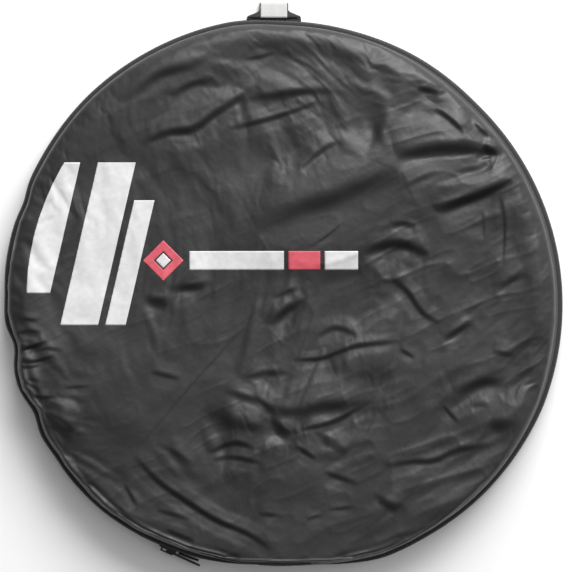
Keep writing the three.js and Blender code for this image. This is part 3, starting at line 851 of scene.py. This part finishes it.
def add_rim():
    step = 0.5
    binding = rim_band(
        "binding", rounded_section(0, 5.2, 0.05, BIND_TOP, 1.2), 0, 360, step, BINDING
    )
    attach(binding, "pouch_back", "webbing", "back_binding")
    add_stitches("binding_stitches", 1.5, BIND_TOP + 0.02, 0, 360, 3.2, "pouch_back")

    gap = RIM_R - ZIP_R
    low_section = rounded_section(
        gap - 0.42, gap + 0.42, BIND_TOP - 0.3, CHAIN_LOW[2] + 0.5, 0.3, 2
    )
    low_tape = rim_band(
        "zip_tape_low", low_section, -ZIP_END, 180 + ZIP_END, step, TAPE, zip_offset
    )
    attach(low_tape, "pouch_back", "zip_tape", "lower_zip_tape")
    high_section = rounded_section(
        gap - 0.42, gap + 0.42, UP_CHAIN_HIGH[2] - 0.5, PIPE_LOW[2] + 0.4, 0.3, 2
    )
    high_tape = rim_band(
        "zip_tape_high", high_section, -FLAP_END, 180 + FLAP_END, step, TAPE, zip_offset
    )
    attach(high_tape, "front_flap", "zip_tape", "upper_zip_tape")
    tooth_row("teeth_low", -ZIP_END, 180 + ZIP_END, CHAIN_LOW[2], CHAIN_HIGH[2], True,
              "pouch_back", "lower_zip_chain")
    tooth_row("teeth_high", -FLAP_END, 180 + FLAP_END, UP_CHAIN_LOW[2], UP_CHAIN_HIGH[2], False,
              "front_flap", "upper_zip_chain")
    for side, start, end in [("right", -ZIP_END, -FLAP_END - 0.1),
                             ("left", 180 + FLAP_END + 0.1, 180 + ZIP_END)]:
        # These teeth stay short, because the slider's post runs past their heads.
        tooth_row(f"teeth_end_{side}", start, end, UP_CHAIN_LOW[2], UP_CHAIN_HIGH[2], False,
                  "pouch_back", f"zip_end_{side}", reach=0.1)
        stub = rim_band(
            f"zip_tape_end_{side}", high_section, start, end, 0.5, TAPE, zip_offset
        )
        attach(stub, "pouch_back", "zip_tape")

    piping = rounded_section(1.6, 5.4, PIPE_LOW[2], PIPE_HIGH[2] + 0.2, 1.2)
    front = rim_band("piping", piping, -FLAP_END, 180 + FLAP_END, step, BINDING)
    attach(front, "front_flap", "webbing", "front_piping")
    add_stitches("piping_stitches", 1.7, 15.2, -FLAP_END + 0.4, 180 + FLAP_END - 0.4, 3.2,
                 "front_flap")
    for side, start, end in [("left", 180 + FLAP_END + 0.1, 269.9),
                             ("right", 270.1, 360 - FLAP_END - 0.1)]:
        hem = rim_band(f"hem_piping_cloth_{side}", piping, start, end, 0.5, BINDING)
        attach(hem, "pouch_back", "webbing", f"hem_piping_{side}")


# ---- Back cloth and bottom wall ------------------------------------------------------------------
def add_back():
    n = 90
    share, deg = disc_grid(n)
    r = share * rim_radius(deg, 4.4, flat_inset=3.6)
    x, y = r * np.cos(np.radians(deg)), r * np.sin(np.radians(deg))
    puff = 0.32 * (1 - abs(noise(x, y, 21, 31))) + 0.22 * (1 - abs(noise(x, y, 8, 32)))
    z = 0.62 + smoothstep(1.0, 0.93, share) * puff
    back = make_object("back_cloth", np.stack([x, y, z], axis=1), grid_faces(n, n), LINING)
    face_up(back)
    thicken(back, CLOTH)
    attach(back, "pouch_back", "nylon", "back_panel")


def add_gusset():
    """The short wall of cloth under the fold, between the two ends of the zip."""
    start, end = 180 + ZIP_END + 1.0, 360 - ZIP_END - 1.0
    low, high = 1.2, PIPE_LOW[2] + 1.0
    cols, rows = 60, 12
    verts = []
    for i in range(rows):
        h = i / (rows - 1)
        z = low + h * (high - low)
        for j in range(cols):
            deg = start + (end - start) * j / (cols - 1)
            a = math.radians(deg)
            pucker = 0.35 * float(noise(np.array([deg * 3.3]), np.array([z]), 3.5, 41)[0])
            r = float(rim_radius(deg, 1.9, flat_inset=1.0)) + pucker * math.sin(math.pi * h)
            verts.append((r * math.cos(a), r * math.sin(a), z))
    wall = make_object("gusset_cloth", verts, grid_faces(rows, cols), NYLON)
    thicken(wall, CLOTH)
    attach(wall, "pouch_back", "nylon", "bottom_gusset")


# ---- Zip hardware, loop and label ----------------------------------------------------------------
def add_hardware():
    for name, node, body, width in [
        ("slider_body", "zip_slider", "slider", 0.5),
        ("pull_tab", "zip_pull", "pull", 0.3),
        ("stop_bottom", "zip_bottom_stop", "pouch_back", 0.25),
        ("stop_top_low", "zip_top_stop_lower", "pouch_back", 0.25),
        ("stop_top_high", "zip_top_stop_upper", "pouch_back", 0.25),
    ]:
        attach(bevelled_copy(name, node, ENAMEL, width), body, "zip_metal", node)
    for side in ("left", "right"):
        tab = bevelled_copy(f"end_tab_{side}", f"zip_end_tab_{side}", BINDING, 0.3)
        attach(tab, "pouch_back", "webbing", f"zip_end_tab_{side}")


def folded_strip(name, low, high, thickness, half_at, material, node, slot, sag):
    """Tape folded back on itself: a flat U from the seam, out and back.

    half_at gives half its width at a distance from the seam; sag is how wavy it lies.
    """
    start, reach = low[1], high[1] - low[1]
    middle, radius = (low[2] + high[2]) / 2, (high[2] - low[2]) / 2 - thickness / 2
    centre_x = (low[0] + high[0]) / 2
    run = reach - radius - thickness / 2
    path = [(t * run, middle - radius) for t in np.linspace(0, 1, 8)]
    path += [(run + radius * math.sin(t), middle - radius * math.cos(t))
             for t in np.linspace(0, math.pi, 11)[1:-1]]
    path += [(t * run, middle + radius) for t in np.linspace(1, 0, 8)]
    cols, verts = 25, []
    for along, z in path:
        half = half_at(along)
        for k in range(cols):
            u = 2 * k / (cols - 1) - 1
            wave = sag * math.cos(2.2 * math.pi * u) * along / reach
            verts.append((centre_x + half * u, start + along, z + wave))
    strip = make_object(name, verts, grid_faces(len(path), cols), material)
    thicken(strip, thickness, 0)
    attach(strip, "loop", slot, node)


def add_loop():
    seam_half = (LOOP_HIGH[0] - LOOP_LOW[0]) / 2
    label_half = (LABEL_HIGH[0] - LABEL_LOW[0]) / 2

    def loop_half(along):
        """Half of 20 mm webbing, which spreads out at its seam."""
        return 10 + (seam_half - 10) * float(smoothstep(6.0, 0.5, along)) ** 1.5

    folded_strip("loop_tape", LOOP_LOW, LOOP_HIGH, 0.9, loop_half, WEBBING, "hang_loop",
                 "webbing", 0.25)
    folded_strip("label_tape", LABEL_LOW, LABEL_HIGH, 0.45, lambda along: label_half, SATIN,
                 "loop_label", "label_satin", 0.12)
    # The webbing's sewn end, which lies between the rim's binding and the loop.
    section = rounded_section(0.15, 3.8, 0.9, 2.3, 0.4, 2)
    across = np.linspace(LOOP_LOW[0], LOOP_HIGH[0], 14)
    verts = [(x, LOOP_LOW[1] - inwards, z) for x in across for inwards, z in section]
    sewn = tube("loop_sewn_end", verts, len(across), len(section), WEBBING)
    attach(sewn, "pouch_back", "webbing")


# ---- Folded reflector ----------------------------------------------------------------------------
def coil_point(t):
    """A place on the steel's line, t from 0 to 2 pi over its three turns."""
    around = 3 * t - math.pi / 2
    r = RING_R + WEAVE_R * math.sin(t)
    return (r * math.cos(around), RING_Y + r * math.sin(around), RING_Z - WEAVE_Z * math.cos(t))


def sweep_coil(name, section, gap, material, node, slot):
    """Sweeps a section of (outwards, up) points along the coil, leaving a gap at its joint."""
    steps = 540
    skip = gap / 2 / (3 * RING_R)
    verts = []
    for k in range(steps + 1):
        t = skip + (2 * math.pi - 2 * skip) * k / steps
        x, y, z = coil_point(t)
        around = 3 * t - math.pi / 2
        for out, up in section:
            verts.append((x + out * math.cos(around), y + out * math.sin(around), z + up))
    obj = tube(name, verts, steps + 1, len(section), material)
    attach(obj, "folded_reflector", slot, node)


def bundle(name, rim, profile, sign, material, node, slot):
    """Cloth layers gathered into the hoops: a lens with folds that swirl in to the middle.

    The profile is its height at shares of its radius; sign is 1 for the upper side.
    """
    n = 200
    share, deg = disc_grid(n)
    r = share * rim
    a = np.radians(deg)
    x, y = r * np.cos(a), r * np.sin(a)
    lift = np.interp(share, *zip(*profile))
    # Nine folds, each a spiral, and small creases across them.
    swirl = deg / 360 * 9 + 1.6 * np.log1p(r / 30) + 0.25 * noise(x, y, 40, 51 + sign)
    fold = 1 - abs(2 * (swirl % 1) - 1)
    fold = fold**1.6 * smoothstep(0.04, 0.4, share) * smoothstep(1.0, 0.8, share)
    crease = (1 - abs(noise(x, y, 26, 53))) ** 2 + 0.5 * (1 - abs(noise(x, y, 11, 54))) ** 2
    edge = smoothstep(1.0, 0.86, share)
    z = lift - sign * edge * (2.6 * (1 - fold) * smoothstep(0.1, 0.5, share) + 1.0 * (1.5 - crease))
    verts = np.stack([x, y + RING_Y, z], axis=1)
    # The hidden side is the same grid made flat, joined to this one at its rim, to close the piece.
    hidden = verts.copy()
    inner = share <= 0.9999
    hidden[inner, 2] = RING_Z + sign * 0.3
    faces = grid_faces(n, n)
    faces = faces + [tuple(reversed([n * n + i for i in f])) for f in faces]
    obj = make_object(name, np.vstack([verts, hidden]), faces, material)
    bm = bmesh.new()
    bm.from_mesh(obj.data)
    bmesh.ops.remove_doubles(bm, verts=bm.verts, dist=1e-6)
    bmesh.ops.recalc_face_normals(bm, faces=bm.faces)
    bm.to_mesh(obj.data)
    bm.free()
    attach(obj, "folded_reflector", slot, node)


def add_reflector():
    # A channel of tape, open inwards, over the steel strip.
    wide, tall, lip = 1.9, 4.75, 0.8
    edging = [(wide, -tall + 0.6), (wide, tall - 0.6), (wide - 0.5, tall), (-wide, tall),
              (-wide, tall - lip), (1.1, tall - lip), (1.1, -tall + lip), (-wide, -tall + lip),
              (-wide, -tall), (wide - 0.5, -tall)]
    sweep_coil("edge_tape", edging, 20, BINDING, "ring_edging", "webbing")
    steel = [(0.4, -3.5), (0.4, 3.5), (-0.4, 3.5), (-0.4, -3.5)]
    sweep_coil("steel_strip", steel, 1, STEEL, "spring_steel_ring", "spring_steel")
    ferrule = bevelled_copy("ferrule", "ring_ferrule", STEEL, 0.3)
    attach(ferrule, "folded_reflector", "spring_steel", "ring_ferrule")
    upper = [(0, 32.6), (0.5, 32.4), (0.75, 31.6), (0.9, 29.0), (0.97, 25.0), (1.0, RING_Z + 0.5)]
    bundle("silver_layers", 167, upper, 1, SILVER, "silver_face", "silver_cloth")
    lower = [(0, 2.4), (0.6, 2.9), (0.82, 5.0), (0.92, 9.0), (0.98, 14.5), (1.0, RING_Z - 0.5)]
    bundle("white_layers", 167, lower, -1, WHITE, "white_face", "white_cloth")


# ---- Stage ---------------------------------------------------------------------------------------
def add_sky():
    """White studio walls, brighter towards +Y, +X and overhead than behind the object."""
    world = bpy.data.worlds.new("studio")
    world.use_nodes = True
    tree = world.node_tree
    where = tree.nodes.new("ShaderNodeTexCoord").outputs["Generated"]
    dot = tree.nodes.new("ShaderNodeVectorMath")
    dot.operation = "DOT_PRODUCT"
    tree.links.new(where, dot.inputs[0])
    dot.inputs[1].default_value = (0.52, 0.70, 0.49)  # the brightest way
    level = tree.nodes.new("ShaderNodeMapRange")
    level.interpolation_type = "SMOOTHSTEP"
    for key, value in {"From Min": -0.1, "From Max": 0.95, "To Min": 0.14, "To Max": 1.05}.items():
        level.inputs[key].default_value = value
    tree.links.new(dot.outputs["Value"], level.inputs["Value"])
    tree.nodes["Background"].inputs["Color"].default_value = (1, 1, 1, 1)
    tree.links.new(level.outputs["Result"], tree.nodes["Background"].inputs["Strength"])
    bpy.context.scene.world = world


def add_stage():
    reach = 20000  # far past what any view shows
    verts = [(x, y, 0) for x in (-reach, reach) for y in (-reach, reach)]
    m = Nodes("floor", Roughness=0.8)
    cloud = m.noise(m.place(), 0.004, 2.0)
    m.link(m.ramp(cloud, (0.3, (0.86, 0.86, 0.86)), (0.7, (0.88, 0.88, 0.88))), "Base Color")
    floor = make_object("floor", verts, [(0, 2, 3, 1)], m.material)
    add_sky()
    bpy.context.scene.view_settings.view_transform = "Standard"
    light = bpy.data.lights.new("key", "AREA")
    light.size = 1.2
    light.energy = 46
    lamp = bpy.data.objects.new("key", light)
    lamp.location = (0.5, 1.35, 1.2)
    lamp.rotation_euler = (-lamp.location).to_track_quat("-Z", "Y").to_euler()
    bpy.context.scene.collection.objects.link(lamp)


def add_camera():
    """Straight above, with a long lens, so that the rim fills the frame."""
    lens, sensor = 200, 36
    wide = 398.4  # millimetres across the frame at the rim's height
    camera = bpy.data.cameras.new("camera")
    camera.lens = lens
    camera.sensor_width = sensor
    camera.sensor_fit = "HORIZONTAL"
    obj = bpy.data.objects.new("camera", camera)
    obj.location = (1.75 * MM, 7.0 * MM, (wide * lens / sensor + 2) * MM)
    bpy.context.scene.collection.objects.link(obj)
    bpy.context.scene.camera = obj


add_camera()
add_stage()
add_prints(add_front())
add_rim()
add_back()
add_gusset()
add_hardware()
add_loop()
add_reflector()
